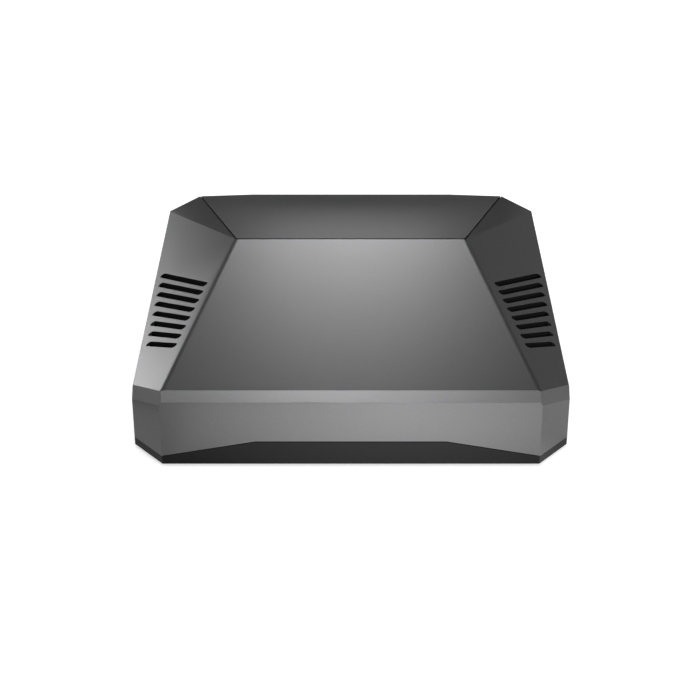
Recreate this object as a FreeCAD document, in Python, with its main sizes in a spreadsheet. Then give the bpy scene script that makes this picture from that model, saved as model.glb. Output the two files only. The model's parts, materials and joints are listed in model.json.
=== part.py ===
import FreeCAD, Part
import Sketcher
import math
import os
import re

# Case for a single-board computer: a die-cast hip-roof shell on a black tray, with a magnetic rear cover.
# Frame: +Z up, the front faces -Y, origin on the table under the middle of the case. Millimetres.

doc = FreeCAD.newDocument("computer_case")
sheet = doc.addObject("Spreadsheet::Sheet", "Sizes")

# Heights of the outer form are above the tray's underside. A size named ahead is measured forwards from the
# rear wall.
sizes = {
    # Outer form
    "case_width": 98.0,
    "case_depth": 103.0,
    "foot_height": 0.8,
    "tray_edge": 1.9,
    "front_height": 16.84,
    "ridge_height": 30.23,
    "ridge_ahead": 45.65,
    "ridge_half": 28.34,
    "rear_height": 24.26,
    "eave_front": 12.87,
    "eave_rear": 23.56,
    "front_corner_x": 7.18,
    "front_corner_y": 8.77,
    "rear_corner_x": 7.61,
    "rear_corner_y": 7.6,
    "front_bevel_inset": 2.1,
    "front_bevel_drop": 1.44,
    "corner_bevel_inset": 1.5,
    "corner_bevel_drop": 2.2,
    "crease_radius": 2.5,
    "eave_radius": 0.5,
    "shell_wall": 1.8,
    # Vents
    "vent_count": 8,
    "vent_width": 1.5,
    "vent_end_steps": 4,
    "vent_edge": 1.6,
    "vent_crease_gap": 2.4,
    "vent_outer_first": 26.8,
    "vent_outer_pitch": 4.588,
    "vent_inner_first": 18.95,
    "vent_inner_pitch": 3.187,
    # Rear cover and its seat
    "cover_thickness": 1.6,
    "cover_lip": 2.0,
    "lip_half": 27.2,
    "seam_gap": 0.3,
    "ridge_gap": 0.7,
    "seat_gap": 0.1,
    "deck_thickness": 1.4,
    "well_end_room": 1.6,
    "well_ahead": 39.6,
    "well_length": 16.0,
    "well_wall": 1.4,
    "well_floor": 1.4,
    "magnet_radius": 2.0,
    "magnet_height": 0.9,
    "front_magnet_x": 16.0,
    "front_magnet_back": 3.4,
    "rear_magnet_side": 16.0,
    "rear_magnet_inset": 6.0,
    # Tray
    "tray_front_half": 21.1,
    "tray_front_rise": 3.65,
    "tray_fit": 0.15,
    "rim_width": 1.2,
    "rim_height": 1.8,
    "rim_gap": 0.2,
    "foot_radius": 4.5,
    "foot_sink": 0.5,
    "foot_side": 13.0,
    "foot_inset": 18.0,
    # The computer that the case takes
    "board_left": 42.0,
    "board_breadth": 56.0,
    "board_rear_gap": 5.5,
    "board_ends": 34.2,
    "board_lift": 1.6,
    "board_thickness": 1.4,
    "board_hole_inset": 3.5,
    "board_hole_ends": 7.2,
    "board_boss_radius": 2.5,
    "board_hole_radius": 1.1,
    "board_hole_depth": 6.0,
    # Screws and other small round pieces
    "small_sides": 12,
    "round_sides": 24,
    "post_radius": 2.4,
    "thread_radius": 1.15,
    "thread_room": 0.1,
    "head_radius": 2.1,
    "head_height": 0.9,
    "head_room": 0.2,
    "screw_length": 6.0,
    "short_screw_length": 3.6,
    "fan_screw_length": 10.0,
    "case_screw_inset": 2.6,
    "case_screw_front": 14.0,
    "case_screw_ahead": 15.0,
    # Heat pillars
    "chip_x": 32.5,
    "chip_setback": 29.25,
    "chip_height": 2.4,
    "chip_pillar": 14.0,
    "memory_setback": 45.0,
    "memory_pillar_x": 12.0,
    "memory_pillar_y": 10.0,
    "pad_thickness": 0.5,
    # Control board and its header
    "pcb_thickness": 1.6,
    "pcb_edge_gap": 0.6,
    "header_insulator": 2.5,
    "socket_height": 6.0,
    "header_width": 5.0,
    "header_ahead": 34.8,
    "header_room": 0.4,
    "pin_width": 0.64,
    "pin_pitch": 2.54,
    "pin_rise": 6.0,
    "pin_columns": 20,
    "arm_right": 29.6,
    "control_inset": 9.0,
    "control_front_ahead": 39.6,
    "control_back_ahead": 23.0,
    "leg_gap": 0.6,
    "control_post_left": 32.6,
    "control_post_inset": 11.6,
    "control_post_front_ahead": 79.0,
    "control_post_middle_ahead": 36.4,
    "control_post_rear_ahead": 19.0,
    "hole_room": 0.5,
    # Sockets for the computer's own ports
    "port_floor": 0.3,
    "lan_from_edge": 10.25,
    "lan_width": 16.4,
    "lan_height": 13.6,
    "usb_near": 29.0,
    "usb_far": 47.0,
    "usb_width": 13.8,
    "usb_height": 15.9,
    # Adapter board and its sockets
    "adapter_lift": 2.0,
    "adapter_gap": 1.0,
    "adapter_strip": 9.0,
    "adapter_inset": 7.0,
    "adapter_corner": 3.0,
    "adapter_front_ahead": 59.0,
    "adapter_wide_ahead": 35.0,
    "adapter_post_step": 5.0,
    "adapter_post_inset": 10.6,
    "adapter_post_ahead": 26.0,
    "display_inset": 27.4,
    "display_width": 15.0,
    "display_height": 6.0,
    "display_depth": 11.5,
    "display_shell": 0.5,
    "display_corner": 1.5,
    "display_tongue": 1.6,
    "tongue_inset": 1.0,
    "display_plug_ahead": 51.0,
    "display_plug_width": 6.0,
    "display_plug_height": 2.3,
    "display_plug_block": 3.0,
    "display_plug_reach": 4.5,
    "audio_inset": 13.6,
    "audio_width": 6.4,
    "audio_height": 5.4,
    "audio_depth": 12.0,
    "audio_collar": 2.9,
    "audio_bore": 1.8,
    "audio_bore_depth": 11.0,
    "audio_plug_ahead": 36.5,
    "audio_plug_radius": 1.7,
    "audio_plug_reach": 13.0,
    "plug_body": 7.0,
    "plug_breadth": 8.0,
    "plug_lift": 3.0,
    "cut_room": 0.4,
    "socket_inset": 0.6,
    "bore_spare": 0.5,
    # Power inlet, button and its switch
    "inlet_inset": 28.0,
    "inlet_width": 9.0,
    "inlet_height": 3.3,
    "inlet_depth": 7.4,
    "inlet_shell": 0.35,
    "inlet_corner": 1.1,
    "inlet_tongue": 0.7,
    "button_inset": 16.0,
    "button_radius": 2.2,
    "button_flange": 0.5,
    "button_flange_height": 0.8,
    "button_proud": 1.0,
    "button_gap": 0.25,
    "button_travel": 0.6,
    "button_lift": 3.1,
    "plunger_reach": 1.0,
    "plunger_gap": 0.2,
    "plunger_radius": 1.2,
    "switch_width": 6.0,
    "switch_height": 5.0,
    "switch_depth": 3.2,
    # Fan
    "fan_x": 5.0,
    "fan_ahead": 68.0,
    "fan_width": 30.0,
    "fan_height": 7.0,
    "fan_bottom": 10.6,
    "fan_wall": 1.0,
    "fan_hole_inset": 3.0,
    "fan_hole_radius": 1.5,
    "fan_plate": 1.2,
    "fan_hub": 6.5,
    "fan_strut": 2.0,
    "fan_tip_gap": 0.5,
    "fan_shaft": 1.0,
    "fan_bearing_gap": 0.05,
    "fan_blades": 7,
    "fan_blade": 0.9,
    "fan_blade_lean": 3.4,
    "fan_gap": 0.5,
    "fan_cup_wall": 0.9,
    # Small pieces on the control board
    "connector_gap": 1.1,
    "connector_ahead": 30.0,
    "connector_width": 5.0,
    "connector_depth": 6.0,
    "connector_height": 4.2,
    "controller_inset": 14.0,
    "controller_ahead": 13.0,
    "controller_width": 5.0,
    "controller_height": 0.9,
    "jumper_step": 3.9,
    "jumper_ahead": 17.5,
    "jumper_rise": 4.2,
    "jumper_width": 2.5,
}

# Places and sizes that follow from others
places = {
    "half_width": "(case_width / 2)",
    "ridge_setback": "(case_depth - ridge_ahead)",
    "header_length": "(pin_columns * pin_pitch)",
    "well_half": "(header_length / 2 + well_end_room)",
    "board_length": "(header_length + board_ends)",
    "board_hole_long": "(header_length + board_hole_ends)",
    "board_hole_short": "(board_breadth - 2 * board_hole_inset)",
    "foot_x": "(half_width - foot_side)",
    "rear_magnet_x": "(half_width - rear_magnet_side)",
    "control_right": "(half_width - control_inset)",
    "control_post_right": "(half_width - control_post_inset)",
    "leg_left": "(board_breadth - board_left + leg_gap)",
    "adapter_left": "(board_breadth - board_left + adapter_gap)",
    "adapter_right": "(half_width - adapter_inset)",
    "adapter_post_near": "(adapter_left + adapter_post_step)",
    "adapter_post_far": "(half_width - adapter_post_inset)",
    "display_x": "(half_width - display_inset)",
    "audio_x": "(half_width - audio_inset)",
    "inlet_x": "(half_width - inlet_inset)",
    "button_x": "(half_width - button_inset)",
    "controller_x": "(half_width - controller_inset)",
    "connector_x": "(well_half + well_wall + connector_gap + connector_width / 2)",
    "jumper_x": "(leg_left + jumper_step)",
    "fan_bore": "(fan_width / 2 - fan_wall)",
    "fan_hole_pitch": "(fan_width - 2 * fan_hole_inset)",
}

for row, (name, number) in enumerate(sizes.items(), start=1):
    sheet.set(f"A{row}", name)
    sheet.set(f"B{row}", str(number))
    sheet.setAlias(f"B{row}", name)
doc.recompute()


def formula(text):
    def cell(word):
        name = word.group()
        if name in places:
            return formula(places[name])
        return "Sizes." + name if name in sizes else name
    return re.sub(r"[a-z]\w*", cell, str(text))


def value(text):
    return float(sheet.evalExpression(formula(text)))


def bind(thing, path, text):
    thing.setExpression(path, formula(text))


# Places that several pieces share, as formulas on the sheet
tray_under = "foot_height"
seam = "(foot_height + tray_edge)"
front_y = "(-(case_depth + cover_lip) / 2)"
rear_y = f"({front_y} + case_depth)"
rear_inner_y = f"({rear_y} - shell_wall)"
ridge_y = f"({front_y} + ridge_setback)"
ridge_z = "(foot_height + ridge_height)"
front_slope = "((ridge_height - front_height) / ridge_setback)"
rear_slope = "((ridge_height - rear_height) / ridge_ahead)"
board_left_x = "(-board_left)"
board_right_x = "(board_breadth - board_left)"
board_rear_y = f"({rear_y} - board_rear_gap)"
board_front_y = f"({board_rear_y} - board_length)"
board_top = f"({seam} + board_lift + board_thickness)"
control_under = f"({board_top} + header_insulator + socket_height)"
control_top = f"({control_under} + pcb_thickness)"
well_floor_z = f"({control_top} + header_insulator)"
adapter_under = f"({seam} + adapter_lift)"
adapter_top = f"({adapter_under} + pcb_thickness)"
fan_y = f"({rear_y} - fan_ahead)"
fan_top = "(fan_bottom + fan_height)"
plug_z = f"({board_top} + plug_lift)"
button_z = f"({control_top} + button_lift)"
case_screw_x = "(half_width - shell_wall - case_screw_inset)"
cover_drop = "(cover_thickness + seat_gap)"

# The three sloping faces at each side: height at the side wall by the front, rise inwards, rise to the rear
eave_slope = "((eave_rear - eave_front) / case_depth)"
side_rise = f"((ridge_height - eave_front - {eave_slope} * ridge_setback) / (half_width - ridge_half))"
side_face = ("(foot_height + eave_front)", side_rise, eave_slope)

corner_setback = "(case_depth - rear_corner_y)"
corner_run = f"({corner_setback} - ridge_setback)"
eave_corner = f"(eave_front + {eave_slope} * {corner_setback})"
corner_rise = (f"(((rear_height - {eave_corner}) * {corner_run} + (ridge_height - {eave_corner}) * rear_corner_y)"
               f" / (rear_corner_x * {corner_run} + (half_width - ridge_half) * rear_corner_y))")
corner_slope = f"((rear_height - {eave_corner} - {corner_rise} * rear_corner_x) / rear_corner_y)"
corner_face = (f"(foot_height + {eave_corner} - {corner_slope} * {corner_setback})", corner_rise, corner_slope)

corner_length = "sqrt(front_corner_x ^ 2 + front_corner_y ^ 2)"
bevel_steep = f"(corner_bevel_drop / corner_bevel_inset / {corner_length})"
bevel_face = (f"(foot_height + eave_front - corner_bevel_drop - {bevel_steep} * front_corner_x * front_corner_y)",
              f"({side_rise} + {bevel_steep} * front_corner_y)",
              f"({eave_slope} + {bevel_steep} * front_corner_x)")


# Sketches and features
def new_body(label):
    body = doc.addObject("PartDesign::Body", label)
    body.Label = label
    return body


def new_sketch(body, name, role, shift="0"):
    sketch = body.newObject("Sketcher::SketchObject", name)
    plane = [item for item in body.Origin.OriginFeatures if item.Role == role][0]
    sketch.AttachmentSupport = [(plane, "")]
    sketch.MapMode = "FlatFace"
    bind(sketch, "AttachmentOffset.Base.z", shift)
    return sketch


def fix_point(sketch, geometry, point, across, up):
    for kind, text in (("DistanceX", across), ("DistanceY", up)):
        rule = sketch.addConstraint(Sketcher.Constraint(kind, -1, 1, geometry, point, value(text)))
        bind(sketch, f"Constraints[{rule}]", text)


def polygon(sketch, corners):
    first = sketch.GeometryCount
    count = len(corners)
    spots = [FreeCAD.Vector(value(across), value(up), 0) for across, up in corners]
    for index in range(count):
        sketch.addGeometry(Part.LineSegment(spots[index], spots[(index + 1) % count]))
    for index, (across, up) in enumerate(corners):
        following = first + (index + 1) % count
        sketch.addConstraint(Sketcher.Constraint("Coincident", first + index, 2, following, 1))
        fix_point(sketch, first + index, 1, across, up)


def flat_circle(sketch, across, up, radius, sides="small_sides"):
    angles = [f"{index} * 360 / {sides}" for index in range(int(value(sides)))]
    polygon(sketch, [(f"{across} + ({radius}) * cos({angle})", f"{up} + ({radius}) * sin({angle})")
                     for angle in angles])


def rectangle(sketch, left, low, right, high):
    polygon(sketch, [(left, low), (right, low), (right, high), (left, high)])


def extrude(kind, body, sketch, length, both=False, back=False):
    feature = body.newObject("PartDesign::" + kind, sketch.Name + "_" + kind.lower())
    feature.Profile = sketch
    bind(feature, "Length", length)
    feature.SideType = "Symmetric" if both else "One side"
    feature.Reversed = back
    doc.recompute()
    return feature


def pad(body, sketch, length, both=False, back=False):
    return extrude("Pad", body, sketch, length, both, back)


def pocket(body, sketch, length, both=False, back=False):
    before = body.Shape.Volume
    feature = extrude("Pocket", body, sketch, length, both, back)
    if body.Shape.Volume > before - 1e-6:
        raise RuntimeError(sketch.Name + " cuts nothing")
    return feature


# Plain solids and their combinations
def block(name, low, high):
    solid = doc.addObject("Part::Box", name)
    for side, axis, start, end in zip(("Length", "Width", "Height"), "xyz", low, high):
        bind(solid, side, f"({end}) - ({start})")
        bind(solid, "Placement.Base." + axis, start)
    return solid


turns = {"z": FreeCAD.Rotation(),
         "y": FreeCAD.Rotation(FreeCAD.Vector(1, 0, 0), -90),
         "-x": FreeCAD.Rotation(FreeCAD.Vector(0, 1, 0), -90)}


def rod(name, start, radius, length, along="z"):
    solid = doc.addObject("Part::Cylinder", name)
    solid.Placement.Rotation = turns[along]
    bind(solid, "Radius", radius)
    bind(solid, "Height", length)
    for axis, text in zip("xyz", start):
        bind(solid, "Placement.Base." + axis, text)
    return solid


# Small round pieces and those that repeat have flat sides, to keep the mesh light
def peg(name, start, radius, length, along="z", sides="small_sides"):
    solid = doc.addObject("Part::Prism", name)
    solid.Placement.Rotation = turns[along]
    bind(solid, "Polygon", sides)
    bind(solid, "Circumradius", radius)
    bind(solid, "Height", length)
    for axis, text in zip("xyz", start):
        bind(solid, "Placement.Base." + axis, text)
    return solid


def pegs(name, spots, low, radius, length, sides="small_sides"):
    return [peg(f"{name}_{index}", (x, y, low), radius, length, sides=sides) for index, (x, y) in enumerate(spots)]


def fuse(name, solids):
    result = doc.addObject("Part::MultiFuse", name)
    result.Shapes = solids
    return result


def cut(name, base, tool):
    result = doc.addObject("Part::Cut", name)
    result.Base = base
    result.Tool = tool
    return result


def group(name, solids):
    result = doc.addObject("Part::Compound", name)
    result.Links = solids
    return result


pieces = []


def piece(label, thing):
    thing.Label = label
    pieces.append(thing)
    return thing


def screw(name, x, y, seat, length, points_up):
    shank_low = seat if points_up else f"({seat} - {length})"
    head_low = f"({seat} - head_height)" if points_up else seat
    shank = peg(name + "_shank", (x, y, shank_low), "thread_radius", length)
    head = peg(name + "_head", (x, y, head_low), "head_radius", "head_height")
    return fuse(name, [shank, head])


# Outer form and cavity: a padded side profile with its corners and sloping faces cut away
def plan_corners(inset):
    x = f"(half_width - {inset})"
    front = f"({front_y} + {inset})"
    rear = f"({rear_y} - {inset})"
    right = [(f"{x} - front_corner_x", front), (x, f"{front} + front_corner_y"),
             (x, f"{rear} - rear_corner_y"), (f"{x} - rear_corner_x", rear)]
    left = [(f"-({across})", up) for across, up in reversed(right)]
    return right + left


def hip_form(label, inset, rear_drop, bottom, bevelled):
    body = new_body(label)
    front = f"({front_y} + {inset})"
    rear = f"({rear_y} - {inset})"
    x = f"(half_width - {inset})"
    facet_foot = f"(foot_height + front_height - {inset} * sqrt(1 + {front_slope} ^ 2))"
    rear_foot = f"({ridge_z} - {rear_drop} + {rear_slope} * ridge_setback)"
    crest = f"(({rear_foot} - {facet_foot}) / ({front_slope} + {rear_slope}))"
    if bevelled:
        brow = [(front, f"{facet_foot} - front_bevel_drop"),
                (f"{front} + front_bevel_inset", f"{facet_foot} + {front_slope} * front_bevel_inset")]
    else:
        brow = [(front, f"{facet_foot} + {front_slope} * {inset}")]
    profile = new_sketch(body, label + "_profile", "YZ_Plane")
    polygon(profile, [(front, bottom)] + brow + [
        (f"{front_y} + {crest}", f"{facet_foot} + {front_slope} * {crest}"),
        (rear, f"{rear_foot} - {rear_slope} * (case_depth - {inset})"),
        (rear, bottom)])
    pad(body, profile, f"2 * {x}", both=True)

    corners = new_sketch(body, label + "_corners", "XY_Plane")
    for sign in ("", "-"):
        polygon(corners, [(f"{sign}({x} - front_corner_x)", front), (f"{sign}{x}", front),
                          (f"{sign}{x}", f"{front} + front_corner_y")])
        polygon(corners, [(f"{sign}({x} - rear_corner_x)", rear), (f"{sign}{x}", rear),
                          (f"{sign}{x}", f"{rear} - rear_corner_y")])
    pocket(body, corners, "4 * ridge_height", both=True)

    faces = {"side": side_face, "rear_corner": corner_face}
    if bevelled:
        faces["bevel"] = bevel_face
    for name, (wall_z, rise, slope) in faces.items():
        roof_cut(body, f"{label}_{name}", inset, wall_z, rise, slope)
    return body


def roof_cut(body, name, inset, wall_z, rise, slope):
    drop = f"{inset} * sqrt(1 + {rise} ^ 2 + {slope} ^ 2)"
    middle_z = f"({wall_z} - {slope} * {front_y} - {drop})"
    outer = "(half_width + shell_wall)"
    inner = "(ridge_half / 2)"
    top = "(6 * ridge_height)"
    sketch = new_sketch(body, name, "XZ_Plane")
    for sign in ("", "-"):
        polygon(sketch, [(f"{sign}{outer}", f"{middle_z} + {rise} * (half_width - {outer})"),
                         (f"{sign}{inner}", f"{middle_z} + {rise} * (half_width - {inner})"),
                         (f"{sign}{inner}", top), (f"{sign}{outer}", top)])
    feature = body.newObject("PartDesign::Pocket", name + "_pocket")
    feature.Profile = sketch
    feature.SideType = "Symmetric"
    feature.UseCustomVector = True
    feature.Direction = FreeCAD.Vector(0, 1, value(slope))
    bind(feature, "Direction.z", slope)
    bind(feature, "Length", "4 * case_depth")
    doc.recompute()


def round_edges(body, name, radius, belongs):
    base = body.Tip
    names = [f"Edge{index}" for index, edge in enumerate(base.Shape.Edges, start=1) if belongs(edge)]
    feature = body.newObject("PartDesign::Fillet", name)
    feature.Base = (base, names)
    bind(feature, "Radius", radius)
    doc.recompute()


shell_form = hip_form("shell_form", "0", "0", seam, bevelled=True)
cavity_form = hip_form("cavity_form", "shell_wall", f"({cover_drop} + deck_thickness)",
                       f"({seam} - tray_edge)", bevelled=False)

ridge_end = FreeCAD.Vector(value("ridge_half"), value(ridge_y), value(ridge_z))


def is_crease(edge):
    ends = [FreeCAD.Vector(abs(point.Point.x), point.Point.y, point.Point.z) for point in edge.Vertexes]
    starts = [point for point in ends if point.distanceToPoint(ridge_end) < 0.01]
    others = [point for point in ends if point.y < ridge_end.y and point.x > ridge_end.x]
    return len(starts) == 1 and len(others) == 1


def is_eave(edge):
    wall_x = value("half_width")
    on_wall = all(abs(abs(point.Point.x) - wall_x) < 0.001 for point in edge.Vertexes)
    above_tray = edge.BoundBox.ZMin > value(f"{seam} + tray_edge")
    return on_wall and above_tray and edge.BoundBox.YLength > value("front_corner_y / 2")


round_edges(shell_form, "crease_round", "crease_radius", is_crease)
round_edges(shell_form, "eave_round", "eave_radius", is_eave)


# A plate that follows the rear slope, from a plan outline; without a top it is the room above the deck
def sloped_plate(label, outline, bottom_drop, top_drop=None):
    body = new_body(label)
    plan = new_sketch(body, label + "_plan", "XY_Plane")
    polygon(plan, outline)
    pad(body, plan, "2 * ridge_height")
    start = f"({ridge_y} - shell_wall)"
    end = f"({rear_y} + 3 * cover_lip)"

    def slope_z(y, drop):
        return f"({ridge_z} - {rear_slope} * ({y} - {ridge_y}) - {drop})"

    under = new_sketch(body, label + "_under", "YZ_Plane")
    polygon(under, [(start, "-ridge_height"), (end, "-ridge_height"),
                    (end, slope_z(end, bottom_drop)), (start, slope_z(start, bottom_drop))])
    pocket(body, under, "2 * case_width", both=True)
    if top_drop is not None:
        above = new_sketch(body, label + "_above", "YZ_Plane")
        polygon(above, [(start, slope_z(start, top_drop)), (end, slope_z(end, top_drop)),
                        (end, "3 * ridge_height"), (start, "3 * ridge_height")])
        pocket(body, above, "2 * case_width", both=True)
    return body


seam_lean = "((half_width - rear_corner_x - ridge_half) / ridge_ahead)"
mouth_y = f"({rear_y} + 2 * cover_lip)"
mouth_half = f"(half_width - rear_corner_x + {seam_lean} * 2 * cover_lip)"
cover_room = sloped_plate("cover_room", [
    ("-ridge_half", ridge_y), ("ridge_half", ridge_y), (mouth_half, mouth_y), (f"-{mouth_half}", mouth_y)],
    cover_drop)
cover_front = f"({ridge_y} + ridge_gap)"
cover_front_half = f"(ridge_half - seam_gap + {seam_lean} * ridge_gap)"
cover_rear_half = "(half_width - rear_corner_x - seam_gap)"
lip_y = f"({rear_y} + cover_lip)"
cover_plate = sloped_plate("cover_plate", [
    (f"-{cover_front_half}", cover_front), (cover_front_half, cover_front), (cover_rear_half, rear_y),
    ("lip_half", lip_y), ("-lip_half", lip_y), (f"-{cover_rear_half}", rear_y)],
    "cover_thickness", "0")

# Magnets: one set in the cover, one in the deck below it, square to the slope
magnet_spots = []
for sign in ("", "-"):
    magnet_spots.append((f"{sign}front_magnet_x", f"({ridge_y} + front_magnet_back)"))
    magnet_spots.append((f"{sign}rear_magnet_x", f"({rear_y} - rear_magnet_inset)"))
slope_length = f"sqrt(1 + {rear_slope} ^ 2)"
slope_turn = FreeCAD.Rotation(FreeCAD.Vector(1, 0, 0), -math.degrees(math.atan(value(rear_slope))))


def magnet(name, x, y, drop, sink):
    z = f"({ridge_z} - {rear_slope} * ({y} - {ridge_y}) - {drop})"
    start = (x, f"{y} - {sink} * {rear_slope} / {slope_length}", f"{z} - {sink} / {slope_length}")
    solid = peg(name, start, "magnet_radius", "magnet_height")
    solid.Placement.Rotation = slope_turn
    return solid


cover_magnets = [magnet(f"cover_magnet_{index}", x, y, "cover_thickness", "0")
                 for index, (x, y) in enumerate(magnet_spots)]
deck_magnets = [magnet(f"deck_magnet_{index}", x, y, cover_drop, "magnet_height")
                for index, (x, y) in enumerate(magnet_spots)]
piece("rear_cover", cut("cover_cut", cover_plate, group("cover_magnet_holes", cover_magnets)))
piece("cover_magnets", group("cover_magnet_set", cover_magnets))
piece("deck_magnets", group("deck_magnet_set", deck_magnets))

# Posts and pillars that stand inside the shell
board_spots = []
for x in (f"({board_left_x} + board_hole_inset)", f"({board_left_x} + board_hole_inset + board_hole_short)"):
    for y in (f"({board_front_y} + board_hole_inset)", f"({board_front_y} + board_hole_inset + board_hole_long)"):
        board_spots.append((x, y))
case_spots = [(f"{sign}{case_screw_x}", y) for sign in ("", "-")
              for y in (f"({front_y} + case_screw_front)", f"({rear_y} - case_screw_ahead)")]
control_spots = [("(-control_post_left)", f"({rear_y} - control_post_front_ahead)"),
                 ("(-control_post_left)", f"({rear_y} - control_post_middle_ahead)"),
                 ("control_post_right", f"({rear_y} - control_post_middle_ahead)"),
                 ("control_post_right", f"({rear_y} - control_post_rear_ahead)")]
fan_spots = [(f"(fan_x {side} fan_hole_pitch / 2)", f"({fan_y} {end} fan_hole_pitch / 2)")
             for side in "+-" for end in "+-"]

stand_top = f"({ridge_z} + tray_edge)"
pillar_low = f"({board_top} + chip_height + pad_thickness)"
chip_mid = (f"({board_right_x} - chip_x)", f"({board_front_y} + chip_setback)")
memory_mid = (chip_mid[0], f"({board_front_y} + memory_setback)")


def pillar(name, middle, width, length, low, high):
    return block(name, (f"{middle[0]} - {width} / 2", f"{middle[1]} - {length} / 2", low),
                 (f"{middle[0]} + {width} / 2", f"{middle[1]} + {length} / 2", high))


def posts(name, spots, radius, low):
    return pegs(name, spots, low, radius, f"{stand_top} - ({low})")


def holes(name, spots, radius, low, depth, shape=peg):
    return [shape(f"{name}_{index}", (x, y, f"{low} - bore_spare"), radius, f"{depth} + bore_spare")
            for index, (x, y) in enumerate(spots)]


well_front = f"({rear_y} - well_ahead)"
well_back = f"({well_front} + well_length)"
well_under = f"({well_floor_z} - well_floor)"
stands = posts("board_post", board_spots, "board_boss_radius", board_top)
stands += posts("case_post", case_spots, "post_radius", seam)
stands += posts("control_post", control_spots, "post_radius", control_top)
stands += posts("fan_post", fan_spots, "post_radius", fan_top)
stands.append(pillar("chip_pillar_stand", chip_mid, "chip_pillar", "chip_pillar", pillar_low, stand_top))
stands.append(pillar("memory_stand", memory_mid, "memory_pillar_x", "memory_pillar_y", pillar_low, stand_top))
stands.append(block("well_stand", ("-well_half - well_wall", f"{well_front} - well_wall", well_under),
                    ("well_half + well_wall", f"{well_back} + well_wall", stand_top)))

# What is cut out of the shell
header_y = f"({rear_y} - header_ahead)"
header_reach = "(header_length / 2 + header_room)"
cuts = [cover_room]
cuts.append(block("well", ("-well_half", well_front, well_floor_z), ("well_half", well_back, stand_top)))
cuts.append(block("header_slot", (f"-{header_reach}", f"{header_y} - header_width / 2 - header_room", control_top),
                  (header_reach, f"{header_y} + header_width / 2 + header_room", f"{well_floor_z} + well_floor")))
cuts += holes("board_thread", board_spots, "board_hole_radius", board_top, "board_hole_depth", rod)
thread_hole = "(thread_radius + thread_room)"
case_seat = f"({tray_under} + head_height + head_room)"
cuts += holes("case_thread", case_spots, thread_hole, seam, f"{case_seat} + screw_length - {seam} + bore_spare")
short_reach = "(short_screw_length - pcb_thickness + bore_spare)"
cuts += holes("control_thread", control_spots, thread_hole, control_top, short_reach)
cuts += holes("fan_thread", fan_spots, thread_hole, fan_top, "(fan_screw_length - fan_height + bore_spare)")
cuts += deck_magnets


def port(name, x, low, width, height):
    return block(name, (f"{x} - {width} / 2", f"{rear_inner_y} - bore_spare", low),
                 (f"{x} + {width} / 2", f"{rear_y} + cover_lip", f"{low} + {height}"))


port_low = f"({board_top} + port_floor)"
cuts.append(port("lan_port", f"({board_left_x} + lan_from_edge)", port_low, "lan_width", "lan_height"))
cuts.append(port("usb_near_port", f"({board_left_x} + usb_near)", port_low, "usb_width", "usb_height"))
cuts.append(port("usb_far_port", f"({board_left_x} + usb_far)", port_low, "usb_width", "usb_height"))


# Outline of a socket's mouth, with all its corners cut off or only the lower ones
def socket_outline(inset, x, low, width, height, corner, all_corners):
    half = f"({width} / 2 - {inset})"
    bottom = f"({low} + {inset})"
    top = f"({low} + {height} - {inset})"
    lower = [(f"{x} - {half}", f"{bottom} + {corner}"), (f"{x} - {half} + {corner}", bottom),
             (f"{x} + {half} - {corner}", bottom), (f"{x} + {half}", f"{bottom} + {corner}")]
    if all_corners:
        return lower + [(f"{x} + {half}", f"{top} - {corner}"), (f"{x} + {half} - {corner}", top),
                        (f"{x} - {half} + {corner}", top), (f"{x} - {half}", f"{top} - {corner}")]
    return lower + [(f"{x} + {half}", top), (f"{x} - {half}", top)]


wall_pass = "(shell_wall + 2 * bore_spare)"


def socket_opening(name, outline):
    body = new_body(name)
    mouth = new_sketch(body, name + "_outline", "XZ_Plane", f"-({rear_y} + bore_spare)")
    polygon(mouth, socket_outline("(-cut_room)", *outline))
    pad(body, mouth, wall_pass)
    return body


display_outline = ("display_x", adapter_top, "display_width", "display_height", "display_corner", False)
inlet_outline = ("inlet_x", control_top, "inlet_width", "inlet_height", "inlet_corner", True)
cuts.append(socket_opening("display_port", display_outline))
cuts.append(socket_opening("inlet_port", inlet_outline))
audio_z = f"({adapter_top} + audio_height / 2)"
cuts.append(rod("audio_port", ("audio_x", f"{rear_inner_y} - bore_spare", audio_z), "audio_collar + cut_room",
                wall_pass, along="y"))
cuts.append(rod("button_port", ("button_x", f"{rear_inner_y} - bore_spare", button_z),
                "button_radius + button_gap", wall_pass, along="y"))

notch_body = new_body("front_notch")
notch = new_sketch(notch_body, "front_notch_face", "XZ_Plane", f"{tray_under} - {front_y}")
notch_foot = "(half_width - front_corner_x)"
notch_top = f"({seam} + tray_front_rise + tray_fit)"
polygon(notch, [(f"-{notch_foot}", f"{seam} - tray_fit"), (notch_foot, f"{seam} - tray_fit"),
                (notch_foot, f"{seam} + tray_fit"), ("tray_front_half", notch_top),
                ("-tray_front_half", notch_top), (f"-{notch_foot}", f"{seam} + tray_fit")])
pad(notch_body, notch, f"2 * shell_wall + {tray_under}", back=True)
cuts.append(notch_body)


# Vents: round-ended slots from the eave to the crease, each side the mirror of the other
def vent_tips(index):
    outer_y = f"{front_y} + vent_outer_first + vent_outer_pitch * {index}"
    inner_setback = f"(vent_inner_first + vent_inner_pitch * {index})"
    crease_foot = "(half_width - front_corner_x)"
    crease_x = f"({crease_foot} - ({crease_foot} - ridge_half) * {inner_setback} / ridge_setback)"
    outer = FreeCAD.Vector(value("half_width - vent_edge"), value(outer_y), 0)
    inner = FreeCAD.Vector(value(f"{crease_x} + vent_crease_gap"), value(f"{front_y} + {inner_setback}"), 0)
    return outer, inner


def round_end(middle, run, radius):
    steps = int(value("vent_end_steps"))
    first = math.atan2(run.y, run.x) - math.pi / 2
    angles = [first + math.pi * step / steps for step in range(steps + 1)]
    return [middle + FreeCAD.Vector(math.cos(angle), math.sin(angle), 0) * radius for angle in angles]


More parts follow.
